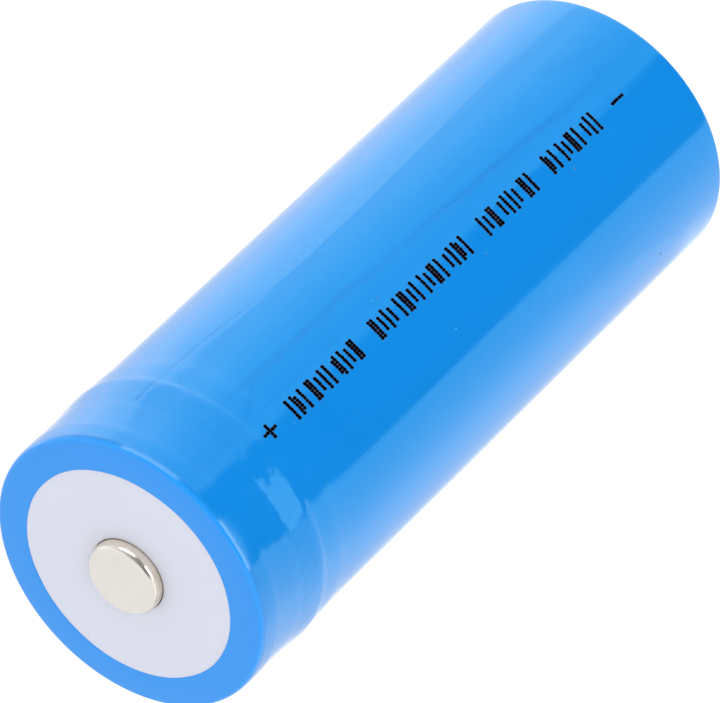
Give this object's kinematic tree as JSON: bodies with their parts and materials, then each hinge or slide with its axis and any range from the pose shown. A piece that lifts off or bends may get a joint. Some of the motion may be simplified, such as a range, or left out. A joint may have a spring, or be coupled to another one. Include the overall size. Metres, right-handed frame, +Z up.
{
  "type": "cylindrical battery cell",
  "caption": "Button-top cylindrical lithium-ion cell: steel can with wound roll and safety vent, protection board puck and white end disc under a blue shrink sleeve.",
  "frame": {"origin": "middle of the cell's length, on the surface that the cell lies on", "axes": "cell axis along Y with the positive button towards -Y, +Z up"},
  "size_m": [0.0266, 0.0718, 0.0267],
  "materials": {
    "sleeve_film": "glossy blue PVC heat-shrink film",
    "band_film": "thin amber insulating film",
    "disc_fibre": "smooth white insulating sheet",
    "button_nickel": "bright nickel plate with fine drawing marks",
    "board_laminate": "green solder mask over glass laminate",
    "carrier_plastic": "moulded white plastic",
    "chip_epoxy": "black moulded epoxy",
    "resistor_body": "black glazed resistor body",
    "capacitor_body": "tan ceramic body",
    "link_nickel": "rolled nickel strip",
    "barley_paper": "grey-green insulating paper",
    "can_steel": "nickel-plated deep-drawn steel, turned marks",
    "gasket_plastic": "black polypropylene",
    "cap_steel": "nickel-plated pressed steel",
    "ptc_polymer": "dark carbon-filled polymer",
    "vent_aluminium": "soft pressed aluminium",
    "vent_insulator": "translucent white plastic",
    "insulator_board": "brown insulating board",
    "separator_film": "white microporous film",
    "anode_coating": "dark graphite coating on copper foil",
    "cathode_coating": "black oxide coating on aluminium foil",
    "roll_tape_film": "green closing tape",
    "pin_steel": "rolled steel tube"
  },
  "bodies": {
    "cell": {"outer_sleeve": "sleeve_film", "joint_band": "band_film", "top_insulator_disc": "disc_fibre", "positive_button": "button_nickel", "protection_board": "board_laminate", "board_carrier_ring": "carrier_plastic", "control_chip": "chip_epoxy", "switch_chip_left": "chip_epoxy", "switch_chip_right": "chip_epoxy", "sense_resistor": "resistor_body", "filter_resistor": "resistor_body", "filter_capacitor": "capacitor_body", "positive_link_tab": "link_nickel", "negative_link_tab": "link_nickel", "crimp_insulator_ring": "barley_paper", "steel_can": "can_steel", "header_gasket": "gasket_plastic", "top_cap": "cap_steel", "ptc_ring": "ptc_polymer", "vent_disc_rim": "vent_aluminium", "vent_insulator_ring": "vent_insulator", "vent_contact_plate": "vent_aluminium", "positive_tab": "vent_aluminium", "upper_insulator": "insulator_board", "separator_inner": "separator_film", "anode_strip": "anode_coating", "separator_outer": "separator_film", "cathode_strip": "cathode_coating", "roll_tape": "roll_tape_film", "centre_pin": "pin_steel", "lower_insulator": "insulator_board", "negative_tab": "link_nickel"},
    "vent_dome": {"vent_disc_dome": "vent_aluminium"}
  },
  "joints": [
    {"name": "vent_snap", "type": "slide", "parent": "cell", "child": "vent_dome", "axis": [0, -1, 0], "range_m": [0, 0.0008]}
  ]
}
